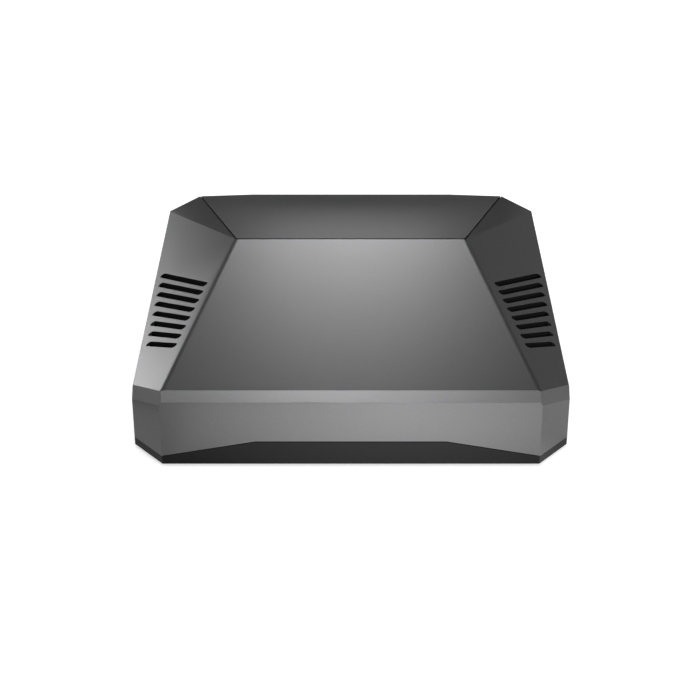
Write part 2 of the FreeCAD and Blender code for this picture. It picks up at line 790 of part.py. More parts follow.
def vent_solid(index, sign):
    outer, inner = vent_tips(index)
    outer.x *= sign
    inner.x *= sign
    radius = value("vent_width / 2")
    run = (inner - outer).normalize()
    start = outer + run * radius
    end = inner - run * radius
    outline = round_end(start, -run, radius) + round_end(end, run, radius)
    face = Part.Face(Part.makePolygon(outline + outline[:1]))
    low = value(f"{side_face[0]} + {side_rise} * vent_edge - 2 * shell_wall") + value(eave_slope) * (
        outer.y - value(front_y))
    face.translate(FreeCAD.Vector(0, 0, low))
    return face.extrude(FreeCAD.Vector(0, 0, value(stand_top) - low))


vents = doc.addObject("Part::Feature", "vents")
vents.Shape = Part.makeCompound([vent_solid(index, sign)
                                 for index in range(int(value("vent_count"))) for sign in (1, -1)])

cavity = cut("cavity", cavity_form, fuse("stands", stands))
hollow_shell = cut("hollow_shell", shell_form, cavity)
opened_shell = cut("opened_shell", hollow_shell, fuse("shell_cuts", cuts))
piece("top_shell", cut("vented_shell", opened_shell, vents))

# Tray
tray = new_body("tray_body")
plate = new_sketch(tray, "tray_plate", "XY_Plane", tray_under)
polygon(plate, plan_corners("0"))
pad(tray, plate, "tray_edge")
brow = new_sketch(tray, "tray_front", "XZ_Plane", f"-{front_y}")
polygon(brow, [(f"-{notch_foot}", seam), ("-tray_front_half", f"{seam} + tray_front_rise"),
               ("tray_front_half", f"{seam} + tray_front_rise"), (notch_foot, seam)])
pad(tray, brow, "shell_wall", back=True)
rim = new_sketch(tray, "tray_rim", "XY_Plane", seam)
polygon(rim, plan_corners("(shell_wall + rim_gap)"))
polygon(rim, plan_corners("(shell_wall + rim_gap + rim_width)"))
pad(tray, rim, "rim_height")
adapter_spots = [(x, f"({rear_y} - adapter_post_ahead)") for x in ("adapter_post_near", "adapter_post_far")]
foot_spots = [(f"{sign}foot_x", y) for sign in ("", "-")
              for y in (f"({front_y} + foot_inset)", f"({rear_y} - foot_inset)")]
below = f"({tray_under} - bore_spare)"
adapter_posts = pegs("adapter_post", adapter_spots, f"({tray_under} + foot_sink)", "post_radius",
                     f"{adapter_under} - {tray_under} - foot_sink")
tray_cuts = pegs("rim_break", case_spots, seam, "post_radius + rim_gap", "rim_height + bore_spare")
tray_cuts += pegs("adapter_thread", adapter_spots, f"({adapter_under} - {short_reach})", thread_hole,
                  f"{short_reach} + bore_spare")
tray_cuts += pegs("case_hole", case_spots, below, thread_hole, "tray_edge + 2 * bore_spare")
tray_cuts += pegs("case_sink", case_spots, below, "head_radius + head_room",
                  "head_height + head_room + bore_spare")
tray_cuts += pegs("foot_hollow", foot_spots, below, "foot_radius + tray_fit", "foot_sink + bore_spare",
                  "round_sides")
piece("base_tray", cut("tray_cut", fuse("tray_solid", [tray] + adapter_posts), fuse("tray_cuts", tray_cuts)))
piece("rubber_feet", group("feet", pegs("foot", foot_spots, "0", "foot_radius", "foot_height + foot_sink",
                                        "round_sides")))
piece("case_screws", group("case_screw_set", [
    screw(f"case_screw_{index}", x, y, case_seat, "screw_length", True)
    for index, (x, y) in enumerate(case_spots)]))

# Heat pads under the pillars
chip_top = f"({board_top} + chip_height)"
piece("heat_pads", group("pads", [
    pillar("chip_pad", chip_mid, "chip_pillar", "chip_pillar", chip_top, pillar_low),
    pillar("memory_pad", memory_mid, "memory_pillar_x", "memory_pillar_y", chip_top, pillar_low)]))

# Control board: an arm over the computer's pins, a bar under the well and a leg to the rear wall
board_edge_y = f"({rear_inner_y} - pcb_edge_gap)"
arm_front = f"({board_front_y} + board_hole_inset + board_boss_radius + pcb_edge_gap)"
control = new_body("control_body")
outline = new_sketch(control, "control_outline", "XY_Plane", control_under)
bar_front = f"({rear_y} - control_front_ahead)"
bar_back = f"({rear_y} - control_back_ahead)"
polygon(outline, [(board_left_x, arm_front), ("-arm_right", arm_front), ("-arm_right", bar_front),
                  ("control_right", bar_front), ("control_right", board_edge_y), ("leg_left", board_edge_y),
                  ("leg_left", bar_back), (board_left_x, bar_back)])
pad(control, outline, "pcb_thickness")
control_holes = new_sketch(control, "control_holes", "XY_Plane", control_under)
for x, y in board_spots:
    if value(y) > value(bar_front):
        flat_circle(control_holes, x, y, "board_boss_radius + hole_room")
for x, y in control_spots:
    flat_circle(control_holes, x, y, thread_hole)
pocket(control, control_holes, "pcb_thickness", back=True)
piece("control_board", control)
piece("control_screws", group("control_screw_set", [
    screw(f"control_screw_{index}", x, y, control_under, "short_screw_length", True)
    for index, (x, y) in enumerate(control_spots)]))

socket_mid = (f"({board_left_x} + board_hole_inset)",
              f"({board_front_y} + board_hole_inset + board_hole_long / 2)")
piece("computer_socket", pillar("socket_body", socket_mid, "header_width", "header_length",
                                f"{control_under} - socket_height", control_under))


def pin_row(name, middle_x, middle_y, columns, rows, low, rise):
    pins = []
    for column in range(columns):
        for row in range(rows):
            spot = (f"({middle_x} + ({column} - {columns - 1} / 2) * pin_pitch)",
                    f"({middle_y} + ({row} - {rows - 1} / 2) * pin_pitch)")
            pins.append(pillar(f"{name}_{column}_{row}", spot, "pin_width", "pin_width", low, f"({low} + {rise})"))
    return group(name, pins)


header_pins = pin_row("header_pin_set", "0", header_y, int(value("pin_columns")), 2, control_top,
                      "(header_insulator + pin_rise)")
header_body = pillar("header_body", ("0", header_y), "header_length", "header_width", control_top, well_floor_z)
piece("header_block", cut("header_block_cut", header_body, header_pins))
piece("header_pins", header_pins)

# Power inlet, switch and button at the rear
socket_face = f"({rear_y} - socket_inset)"


def socket_shell(label, outline, depth, wall):
    body = new_body(label)
    face = new_sketch(body, label + "_face", "XZ_Plane", f"-{socket_face}")
    polygon(face, socket_outline("0", *outline))
    pad(body, face, depth)
    mouth = new_sketch(body, label + "_mouth", "XZ_Plane", f"-{socket_face}")
    polygon(mouth, socket_outline(wall, *outline))
    pocket(body, mouth, f"{depth} - {wall}", back=True)
    return body


def tongue(name, x, middle_z, width, thickness, depth, wall):
    low = (f"{x} - {width} / 2", f"{socket_face} - {depth} + {wall}", f"{middle_z} - {thickness} / 2")
    high = (f"{x} + {width} / 2", f"{socket_face} - tongue_inset", f"{middle_z} + {thickness} / 2")
    return block(name, low, high)


piece("power_inlet", socket_shell("inlet_shell_body", inlet_outline, "inlet_depth", "inlet_shell"))
piece("inlet_tongue", tongue("inlet_tongue_body", "inlet_x", f"({control_top} + inlet_height / 2)",
                             "(inlet_width - 2 * inlet_corner)", "inlet_tongue", "inlet_depth", "inlet_shell"))

flange_front = f"({rear_inner_y} - seat_gap)"
flange_back = f"({flange_front} - button_flange_height)"
switch_front = f"({flange_back} - button_travel - button_gap)"
switch_back = f"({switch_front} - switch_depth)"
plunger_end = f"({switch_front} - plunger_reach)"
cap = rod("button_cap", ("button_x", flange_front, button_z), "button_radius",
          f"{rear_y} + button_proud - {flange_front}", along="y")
flange = rod("button_flange_ring", ("button_x", flange_back, button_z), "button_radius + button_flange",
             "button_flange_height", along="y")
piece("power_button", fuse("button_body", [cap, flange]))
piece("switch_plunger", peg("plunger", ("button_x", plunger_end, button_z), "plunger_radius",
                            f"{flange_back} - {plunger_end}", along="y"))
switch_block = block("switch_block", ("button_x - switch_width / 2", switch_back, control_top),
                     ("button_x + switch_width / 2", switch_front, f"{control_top} + switch_height"))
plunger_hole = peg("plunger_hole", ("button_x", f"{plunger_end} - button_travel - plunger_gap", button_z),
                   "plunger_radius + plunger_gap", "plunger_reach + button_travel + 2 * plunger_gap", along="y")
piece("button_switch", cut("switch_body", switch_block, plunger_hole))

# Small pieces on the control board
piece("fan_connector", pillar("fan_connector_body", ("connector_x", f"({rear_y} - connector_ahead)"),
                              "connector_width", "connector_depth", control_top,
                              f"{control_top} + connector_height"))
piece("controller_chip", pillar("controller_body", ("controller_x", f"({rear_y} - controller_ahead)"),
                                "controller_width", "controller_width", control_top,
                                f"{control_top} + controller_height"))
mode_count = 3
mode_y = f"({rear_y} - jumper_ahead)"
mode_low = f"({control_top} + header_insulator)"
mode_high = f"({mode_low} + jumper_rise)"
mode_pin_set = pin_row("mode_pin_set", "jumper_x", mode_y, mode_count, 1, mode_low, "jumper_rise")
mode_block = pillar("mode_block", ("jumper_x", mode_y), f"({mode_count} * pin_pitch)", "jumper_width",
                    control_top, mode_low)
piece("mode_header", mode_block)
piece("mode_pins", mode_pin_set)
jumper_box = pillar("jumper_box", ("(jumper_x - pin_pitch / 2)", mode_y), "(2 * pin_pitch)", "jumper_width",
                    mode_low, mode_high)
piece("mode_jumper", cut("jumper_cap", jumper_box, mode_pin_set))

# Adapter board: a strip along the computer with its plugs, and a wide end with the rear sockets
adapter = new_body("adapter_body")
adapter_outline = new_sketch(adapter, "adapter_outline", "XY_Plane", adapter_under)
strip_right = "(adapter_left + adapter_strip)"
strip_front = f"({rear_y} - adapter_front_ahead)"
wide_front = f"({rear_y} - adapter_wide_ahead)"
polygon(adapter_outline, [("adapter_left", strip_front), (strip_right, strip_front), (strip_right, wide_front),
                          ("adapter_right", wide_front), ("adapter_right", f"{board_edge_y} - adapter_corner"),
                          ("adapter_right - adapter_corner", board_edge_y), ("adapter_left", board_edge_y)])
pad(adapter, adapter_outline, "pcb_thickness")
adapter_holes = new_sketch(adapter, "adapter_holes", "XY_Plane", adapter_under)
for x, y in adapter_spots:
    flat_circle(adapter_holes, x, y, thread_hole)
pocket(adapter, adapter_holes, "pcb_thickness", back=True)
piece("adapter_board", adapter)
piece("adapter_screws", group("adapter_screw_set", [
    screw(f"adapter_screw_{index}", x, y, adapter_top, "short_screw_length", False)
    for index, (x, y) in enumerate(adapter_spots)]))

piece("display_socket", socket_shell("display_shell_body", display_outline, "display_depth", "display_shell"))
piece("display_tongue", tongue("display_tongue_body", "display_x", f"({adapter_top} + display_height / 2)",
                               "(display_width - 2 * display_corner)", "display_tongue", "display_depth",
                               "display_shell"))


def plug_block(name, ahead, height):
    y = f"({rear_y} - {ahead})"
    return block(name, ("adapter_left", f"{y} - plug_breadth / 2", adapter_top),
                 ("adapter_left + plug_body", f"{y} + plug_breadth / 2", f"{adapter_top} + {height}"))


display_plug_y = f"({rear_y} - display_plug_ahead)"
plug_nose = block("display_plug_nose", (f"{board_right_x} - display_plug_reach",
                                        f"{display_plug_y} - display_plug_width / 2", adapter_top),
                  ("adapter_left", f"{display_plug_y} + display_plug_width / 2",
                   f"{adapter_top} + display_plug_height"))
plug_base = plug_block("display_plug_base", "display_plug_ahead", "display_plug_block")
piece("display_plug", fuse("display_plug_body", [plug_base, plug_nose]))
audio_pin = peg("audio_plug_pin", ("adapter_left", f"{rear_y} - audio_plug_ahead", plug_z), "audio_plug_radius",
                f"adapter_left - {board_right_x} + audio_plug_reach", along="-x")
pin_base = plug_block("audio_plug_base", "audio_plug_ahead", "audio_height")
piece("audio_plug", fuse("audio_plug_body", [pin_base, audio_pin]))

audio_front = f"({rear_inner_y} - pcb_edge_gap)"
audio_block = block("audio_block", ("audio_x - audio_width / 2", f"{audio_front} - audio_depth", adapter_top),
                    ("audio_x + audio_width / 2", audio_front, f"{adapter_top} + audio_height"))
audio_neck = rod("audio_neck", ("audio_x", audio_front, audio_z), "audio_collar", f"{socket_face} - {audio_front}",
                 along="y")
audio_hole = rod("audio_hole", ("audio_x", f"{socket_face} - audio_bore_depth", audio_z), "audio_bore",
                 "audio_bore_depth + bore_spare", along="y")
piece("audio_socket", cut("audio_body", fuse("audio_solid", [audio_block, audio_neck]), audio_hole))

# Fan: frame with hub plate and struts above, rotor hung on its shaft below
fan_mid = ("fan_x", fan_y)
plate_low = f"({fan_top} - fan_plate)"
cup_low = "(fan_bottom + fan_gap)"
tube_low = f"({cup_low} + fan_cup_wall + fan_gap)"
strut_length = "(2 * fan_bore + fan_plate)"
under_fan = "(fan_bottom - bore_spare)"
through_fan = "fan_height + 2 * bore_spare"
fan_openings = pegs("fan_opening", [fan_mid], under_fan, "fan_bore", through_fan, "round_sides")
fan_openings += pegs("fan_hole", fan_spots, under_fan, "fan_hole_radius", through_fan)
fan_block = pillar("fan_block", fan_mid, "fan_width", "fan_width", "fan_bottom", fan_top)
fan_solids = [cut("fan_ring", fan_block, fuse("fan_opening_set", fan_openings))]
fan_solids.append(pillar("fan_strut_across", fan_mid, strut_length, "fan_strut", plate_low, fan_top))
fan_solids.append(pillar("fan_strut_along", fan_mid, "fan_strut", strut_length, plate_low, fan_top))
fan_solids += pegs("fan_hub_plate", [fan_mid], plate_low, "fan_hub", "fan_plate", "round_sides")
fan_solids += pegs("fan_bearing", [fan_mid], tube_low, "fan_shaft + fan_cup_wall", f"{plate_low} - {tube_low}",
                   "round_sides")
bearing_bore = peg("fan_bearing_bore", ("fan_x", fan_y, f"{tube_low} - bore_spare"), "fan_shaft + fan_bearing_gap",
                   f"{plate_low} - {tube_low} + bore_spare", sides="round_sides")
piece("fan_frame", cut("fan_frame_body", fuse("fan_solid", fan_solids), bearing_bore))

rotor = new_body("fan_rotor_body")
cup_high = f"({plate_low} - fan_gap)"
cup = new_sketch(rotor, "rotor_cup", "XY_Plane", cup_low)
flat_circle(cup, "0", "0", "fan_hub", "round_sides")
pad(rotor, cup, f"{cup_high} - {cup_low}")
cup_inside = new_sketch(rotor, "rotor_inside", "XY_Plane", f"{cup_low} + fan_cup_wall")
flat_circle(cup_inside, "0", "0", "fan_hub - fan_cup_wall", "round_sides")
pocket(rotor, cup_inside, f"{cup_high} - {cup_low}", back=True)
shaft = new_sketch(rotor, "rotor_shaft", "XY_Plane", cup_low)
flat_circle(shaft, "0", "0", "fan_shaft", "round_sides")
pad(rotor, shaft, f"{plate_low} - fan_gap - {cup_low}")
blade_low = f"({cup_low} + fan_bearing_gap)"
blade_high = f"({cup_high} - fan_gap)"
blade_half = "fan_blade / 2"
lean_half = "fan_blade_lean / 2"
blade_root = "(fan_hub - fan_cup_wall / 2)"
blade_tip = f"sqrt((fan_bore - fan_tip_gap) ^ 2 - ({lean_half} + {blade_half}) ^ 2)"
blade = new_sketch(rotor, "rotor_blade", "YZ_Plane", blade_root)
polygon(blade, [(f"-{lean_half} - {blade_half}", blade_low), (f"-{lean_half} + {blade_half}", blade_low),
                (f"{lean_half} + {blade_half}", blade_high), (f"{lean_half} - {blade_half}", blade_high)])
blade_pad = pad(rotor, blade, f"{blade_tip} - {blade_root}")
ring = rotor.newObject("PartDesign::PolarPattern", "rotor_blades")
ring.Originals = [blade_pad]
ring.Axis = ([item for item in rotor.Origin.OriginFeatures if item.Role == "Z_Axis"][0], [""])
ring.Angle = 360
bind(ring, "Occurrences", "fan_blades")
rotor.Tip = ring
bind(rotor, "Placement.Base.x", "fan_x")
bind(rotor, "Placement.Base.y", fan_y)
piece("fan_rotor", rotor)
piece("fan_screws", group("fan_screw_set", [
    screw(f"fan_screw_{index}", x, y, "fan_bottom", "fan_screw_length", True)
    for index, (x, y) in enumerate(fan_spots)]))

doc.recompute()
for thing in doc.Objects:
    if "Invalid" in thing.State or "Error" in thing.State:
        raise RuntimeError(f"{thing.Name} failed: {thing.State}")
for thing in pieces:
    if thing.Shape.isNull() or not thing.Shape.isValid() or not thing.Shape.Solids:
        raise RuntimeError(thing.Label + " has no valid solid")

os.makedirs("parts", exist_ok=True)
for thing in pieces:
    thing.Shape.exportStep(f"parts/{thing.Label}.step")
    print(f"{thing.Label}: {len(thing.Shape.Solids)} solids, {thing.Shape.Volume:.1f} mm3")
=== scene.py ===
import bpy
import json
import math
from mathutils import Matrix, Vector
from mathutils.bvhtree import BVHTree


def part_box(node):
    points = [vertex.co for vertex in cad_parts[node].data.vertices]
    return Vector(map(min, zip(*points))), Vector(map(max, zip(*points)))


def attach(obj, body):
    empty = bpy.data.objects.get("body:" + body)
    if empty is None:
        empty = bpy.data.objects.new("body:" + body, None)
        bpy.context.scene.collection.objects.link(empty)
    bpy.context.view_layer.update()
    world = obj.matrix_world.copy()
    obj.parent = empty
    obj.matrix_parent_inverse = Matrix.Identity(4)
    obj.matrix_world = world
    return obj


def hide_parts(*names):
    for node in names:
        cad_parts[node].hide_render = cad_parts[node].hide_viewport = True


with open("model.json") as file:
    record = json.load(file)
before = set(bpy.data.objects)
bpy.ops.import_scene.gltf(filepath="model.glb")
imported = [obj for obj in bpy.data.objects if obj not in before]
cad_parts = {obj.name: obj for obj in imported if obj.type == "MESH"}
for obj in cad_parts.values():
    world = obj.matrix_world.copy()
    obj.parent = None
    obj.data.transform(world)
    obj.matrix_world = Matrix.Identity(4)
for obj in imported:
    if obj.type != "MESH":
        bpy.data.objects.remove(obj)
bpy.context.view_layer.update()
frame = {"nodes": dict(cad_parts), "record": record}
cadNodes = frame["nodes"]
bodyOf = {node: body for body, group in frame["record"]["behaviour"]["bodies"].items() for node in group}
mm = 0.001
print("frame loaded:", len(cadNodes), "nodes")


# Shader sums: a Wire is one socket, and adding or multiplying wires adds Math nodes
class Wire:
    def __init__(self, graph, socket):
        self.graph = graph
        self.socket = socket

    def maths(self, operation, first, second):
        return self.graph.node("ShaderNodeMath", {"operation": operation}, {0: first, 1: second})

    def __add__(self, other):
        return self.maths("ADD", self, other)

    def __radd__(self, other):
        return self.maths("ADD", other, self)

    def __sub__(self, other):
        return self.maths("SUBTRACT", self, other)

    def __rsub__(self, other):
        return self.maths("SUBTRACT", other, self)

    def __mul__(self, other):
        return self.maths("MULTIPLY", self, other)

    def __rmul__(self, other):
        return self.maths("MULTIPLY", other, self)

    def __lt__(self, other):
        return self.maths("LESS_THAN", self, other)

    def __gt__(self, other):
        return self.maths("GREATER_THAN", self, other)


class Graph:
    def __init__(self, tree):
        self.tree = tree

    def node(self, kind, settings, sockets, output=0):
        made = self.tree.nodes.new(kind)
        for name, value in settings.items():
            if name == "stops":
                self.setStops(made.color_ramp, value)
            else:
                setattr(made, name, value)
        for name, value in sockets.items():
            self.plug(made.inputs[name], value)
        return Wire(self, made.outputs[output])

    def plug(self, socket, value):
        if isinstance(value, Wire):
            self.tree.links.new(value.socket, socket)
        else:
            socket.default_value = value

    def setStops(self, ramp, stops):
        for index, (place, grey) in enumerate(stops):
            stop = ramp.elements[index] if index < len(ramp.elements) else ramp.elements.new(place)
            stop.position = place
            stop.color = (grey, grey, grey, 1)


class Finish(Graph):
    def __init__(self, name):
        self.material = bpy.data.materials.new(name)
        self.material.use_nodes = True
        super().__init__(self.material.node_tree)
        self.shader = self.tree.nodes["Principled BSDF"]
        self.place = self.node("ShaderNodeTexCoord", {}, {}, "Object")

    def set(self, **values):
        for name, value in values.items():
            self.plug(self.shader.inputs[name], value)

    def noise(self, size, detail, shift=(0, 0, 0)):  # size of one blot in millimetres
        place = self.node("ShaderNodeMapping", {}, {"Vector": self.place, "Location": shift})
        sockets = {"Vector": place, "Scale": 1 / (size * mm), "Detail": detail}
        return self.node("ShaderNodeTexNoise", {}, sockets)

    def ramp(self, wire, stops):
        return self.node("ShaderNodeValToRGB", {"stops": stops}, {"Fac": wire})

    def mix(self, amount, first, second):  # 6, 7 and output 2 are the colour sockets
        return self.node("ShaderNodeMix", {"data_type": "RGBA"}, {0: amount, 6: first, 7: second}, 2)

    def blend(self, amount, first, second):
        return self.mix(amount, (*first, 1), (*second, 1))

    def bump(self, height, depth, strength):  # depth in millimetres
        sockets = {"Height": height, "Distance": depth * mm, "Strength": strength}
        self.plug(self.shader.inputs["Normal"], self.node("ShaderNodeBump", {}, sockets))


noiseLook = {"grainDetail": 3.0, "cloudDetail": 2.0, "middle": 0.5}  # noise swings about its middle
white = (1, 1, 1, 1)

# Grey cast metal of the shell and the cover
castMetal = {"light": (0.172, 0.172, 0.175), "dark": (0.158, 0.158, 0.161), "metallic": 0.85,
             "roughness": 0.31, "roughnessSwing": 0.03, "grain": 0.34, "cloud": 14.0, "grainDepth": 0.012,
             "grainStrength": 0.35, "speckle": [(0.3, 0.0), (0.7, 1.0)], "speckleShare": 0.7,
             "cloudShare": 0.3, "coverShift": (0.31, 0.17, 0.05)}


def makeCastMetal(name, shift):
    finish = Finish(name)
    grain = finish.noise(castMetal["grain"], noiseLook["grainDetail"], shift)
    cloud = finish.noise(castMetal["cloud"], noiseLook["cloudDetail"], shift)
    speckle = finish.ramp(grain, castMetal["speckle"])
    finish.set(Metallic=castMetal["metallic"])
    share = speckle * castMetal["speckleShare"] + cloud * castMetal["cloudShare"]
    colour = finish.blend(share, castMetal["dark"], castMetal["light"])
    swing = (grain + cloud - 2 * noiseLook["middle"]) * castMetal["roughnessSwing"]
    finish.set(**{"Base Color": colour, "Roughness": castMetal["roughness"] + swing})
    finish.bump(grain, castMetal["grainDepth"], castMetal["grainStrength"])
    return finish.material


# Moulded and other plain finishes: two near colours, a grain and a soft cloud
plainFinishes = {
    "blackPlastic": {"light": (0.006, 0.006, 0.0062), "dark": (0.004, 0.004, 0.0042), "roughness": 0.36,
                     "grain": 0.35, "depth": 0.02, "metallic": 0.0, "specular": 0.25},
    # dark inside finish, also used as painted shade in the slots, under the roof and at the seams
    "insideAndPaintedShade": {"light": (0.006, 0.006, 0.006), "dark": (0.004, 0.004, 0.004), "roughness": 0.8,
                    "grain": 0.4, "depth": 0.01, "metallic": 0.0, "specular": 0.1},
    "innerPlastic": {"light": (0.024, 0.024, 0.024), "dark": (0.015, 0.015, 0.016), "roughness": 0.42,
                     "grain": 0.25, "depth": 0.008, "metallic": 0.0},
    "footRubber": {"light": (0.03, 0.03, 0.03), "dark": (0.018, 0.018, 0.018), "roughness": 0.8,
                   "grain": 0.3, "depth": 0.02, "metallic": 0.0},
    "platedSteel": {"light": (0.62, 0.61, 0.59), "dark": (0.5, 0.5, 0.49), "roughness": 0.28,
                    "grain": 0.6, "depth": 0.003, "metallic": 1.0},
    "screwSteel": {"light": (0.16, 0.16, 0.165), "dark": (0.1, 0.1, 0.105), "roughness": 0.35,
                   "grain": 0.2, "depth": 0.004, "metallic": 1.0},
    "giltPins": {"light": (0.82, 0.6, 0.24), "dark": (0.72, 0.5, 0.18), "roughness": 0.22,
                 "grain": 0.5, "depth": 0.002, "metallic": 1.0},
    "padSilicone": {"light": (0.42, 0.45, 0.5), "dark": (0.34, 0.37, 0.42), "roughness": 0.65,
                    "grain": 0.5, "depth": 0.02, "metallic": 0.0},
    "whiteNylon": {"light": (0.78, 0.76, 0.7), "dark": (0.7, 0.68, 0.62), "roughness": 0.45,
                   "grain": 0.6, "depth": 0.006, "metallic": 0.0},
    "buttonPlastic": {"light": (0.05, 0.05, 0.052), "dark": (0.035, 0.035, 0.037), "roughness": 0.38,
                      "grain": 0.22, "depth": 0.008, "metallic": 0.0},
}
plainLook = {"grainsPerCloud": 25, "grainShare": 0.5, "cloudShare": 0.5, "roughnessSwing": 0.2,
             "bumpStrength": 0.5, "specular": 0.5}


def makePlainFinish(name, settings):
    finish = Finish(name)
    grain = finish.noise(settings["grain"], noiseLook["grainDetail"])
    cloud = finish.noise(settings["grain"] * plainLook["grainsPerCloud"], noiseLook["cloudDetail"])
    specular = settings.get("specular", plainLook["specular"])
    finish.set(**{"Metallic": settings["metallic"], "Specular IOR Level": specular})
    share = grain * plainLook["grainShare"] + cloud * plainLook["cloudShare"]
    colour = finish.blend(share, settings["dark"], settings["light"])
    swing = (cloud - noiseLook["middle"]) * plainLook["roughnessSwing"] * settings["roughness"]
    finish.set(**{"Base Color": colour, "Roughness": settings["roughness"] + swing})
    finish.bump(grain, settings["depth"], plainLook["bumpStrength"])
    return finish.material


# Lacquered circuit board: tracks under the lacquer, bare fibre at the cut edges
# The tile and the depth are in millimetres, and a track's width, length and pitch are in tiles
circuitBoard = {"lacquer": (0.012, 0.06, 0.035), "track": (0.02, 0.1, 0.055), "fibre": (0.36, 0.31, 0.16),
                "tile": 6.4, "trackShift": 0.37, "trackWidth": 0.03, "trackSoftness": 0.1,
                "trackLength": 6.5, "trackPitch": 0.3, "trackDepth": 0.02, "trackStrength": 0.4,
                "roughness": 0.3, "edgeRoughness": 0.4, "edgeLimit": 0.5}


def makeCircuitBoard():
    finish = Finish("circuitBoard")
    tracks = finish.node("ShaderNodeTexBrick", {"offset": circuitBoard["trackShift"]},
                         {"Vector": finish.place, "Scale": 1 / (circuitBoard["tile"] * mm),
                          "Mortar Size": circuitBoard["trackWidth"],
                          "Mortar Smooth": circuitBoard["trackSoftness"],
                          "Brick Width": circuitBoard["trackLength"],
                          "Row Height": circuitBoard["trackPitch"]}, "Fac")
    normal = finish.node("ShaderNodeNewGeometry", {}, {}, "Normal")
    upwards = finish.node("ShaderNodeSeparateXYZ", {}, {"Vector": normal}, "Z")
    edge = upwards * upwards < circuitBoard["edgeLimit"]
    face = finish.blend(tracks, circuitBoard["lacquer"], circuitBoard["track"])
    colour = finish.mix(edge, face, (*circuitBoard["fibre"], 1))
    rough = circuitBoard["roughness"] + edge * circuitBoard["edgeRoughness"]
    finish.set(**{"Base Color": colour, "Roughness": rough})
    finish.bump(tracks, circuitBoard["trackDepth"], circuitBoard["trackStrength"])
    return finish.material


materials = {name: makePlainFinish(name, settings) for name, settings in plainFinishes.items()}
materials["shellMetal"] = makeCastMetal("shellMetal", (0, 0, 0))
materials["coverMetal"] = makeCastMetal("coverMetal", castMetal["coverShift"])
materials["circuitBoard"] = makeCircuitBoard()
print("finishes made:", len(materials))

# The finish of each CAD node, and of the pieces that stand for it
nodeFinish = {
    "top_shell": "shellMetal", "rear_cover": "coverMetal", "base_tray": "blackPlastic",
    "rubber_feet": "footRubber", "cover_magnets": "platedSteel", "deck_magnets": "platedSteel",
    "case_screws": "screwSteel", "control_screws": "platedSteel", "adapter_screws": "platedSteel",
    "fan_screws": "screwSteel", "heat_pads": "padSilicone", "control_board": "circuitBoard",
    "adapter_board": "circuitBoard", "computer_socket": "innerPlastic", "header_block": "innerPlastic",
    "header_pins": "giltPins", "mode_header": "innerPlastic", "mode_pins": "giltPins",
    "mode_jumper": "innerPlastic", "power_inlet": "platedSteel", "inlet_tongue": "innerPlastic",
    "power_button": "buttonPlastic", "switch_plunger": "innerPlastic", "button_switch": "innerPlastic",
    "fan_connector": "whiteNylon", "controller_chip": "innerPlastic", "display_socket": "platedSteel",
    "display_tongue": "innerPlastic", "display_plug": "platedSteel", "audio_plug": "platedSteel",
    "audio_socket": "innerPlastic", "fan_frame": "innerPlastic", "fan_rotor": "innerPlastic",
}


def paint(thing, finishName):
    thing.data.materials.clear()
    thing.data.materials.append(materials[finishName])


for node, finishName in nodeFinish.items():
    paint(cadNodes[node], finishName)

meshCare = {"weld": 0.002, "flatAngle": 0.5, "square": 0.99}  # millimetres, degrees and a cosine
alongY = (math.radians(90), 0, 0)  # lays a cylinder along y


def pickOnly(thing):
    bpy.ops.object.select_all(action="DESELECT")
    thing.select_set(True)
    bpy.context.view_layer.objects.active = thing


def newShape(add, **settings):
    bpy.ops.object.select_all(action="DESELECT")
    add(**settings)
    return bpy.context.active_object


def settle(thing):  # its place, turn and size go into its mesh
    pickOnly(thing)
    bpy.ops.object.transform_apply(location=True, rotation=True, scale=True)


def addModifier(thing, kind, **settings):
    tool = thing.modifiers.new(kind.lower(), kind)
    for name, value in settings.items():
        setattr(tool, name, value)
    pickOnly(thing)
    bpy.ops.object.modifier_apply(modifier=tool.name)


def middleOf(low, high):
    return (low + high) / 2


# A finished piece: place in its mesh, smooth where it is round, on its body, with its finish
def finishPiece(thing, node, finishName, stands=True, sharpAngle=30):
    settle(thing)
    bpy.ops.object.shade_smooth_by_angle(angle=math.radians(sharpAngle))
    addModifier(thing, "WEIGHTED_NORMAL", keep_sharp=True)  # keeps the large faces flat
    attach(thing, bodyOf[node])
    if stands:
        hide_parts(node)
    paint(thing, finishName)
    return thing


def editMesh(thing):
    pickOnly(thing)
    bpy.ops.object.mode_set(mode="EDIT")
    bpy.ops.mesh.select_mode(type="FACE")


def leaveMesh():
    bpy.ops.object.mode_set(mode="OBJECT")


def pickFaces(thing, wanted):  # in edit mode
    bpy.ops.mesh.select_all(action="DESELECT")
    leaveMesh()
    for face in thing.data.polygons:
        face.select = wanted(face)
    bpy.ops.object.mode_set(mode="EDIT")


def facing(direction):
    way = Vector(direction)
    return lambda face: face.normal.dot(way) > meshCare["square"]


# Edits of the picked faces, in metres
def bevelPicked(width, steps):
    bpy.ops.mesh.bevel(offset=width, segments=steps, affect="EDGES")


def insetPicked(width):
    bpy.ops.mesh.inset(thickness=width)


def pullPicked(shift):
    bpy.ops.mesh.extrude_region_move(TRANSFORM_OT_translate={"value": shift})


def resizePicked(size, height):  # across, about the z axis
    bpy.ops.transform.resize(value=(size, size, 1), center_override=(0, 0, height))


def copyOf(thing, pieceName, place):
    twin = bpy.data.objects.new(pieceName, thing.data.copy())
    twin.data.transform(place)
    bpy.context.scene.collection.objects.link(twin)
    return twin


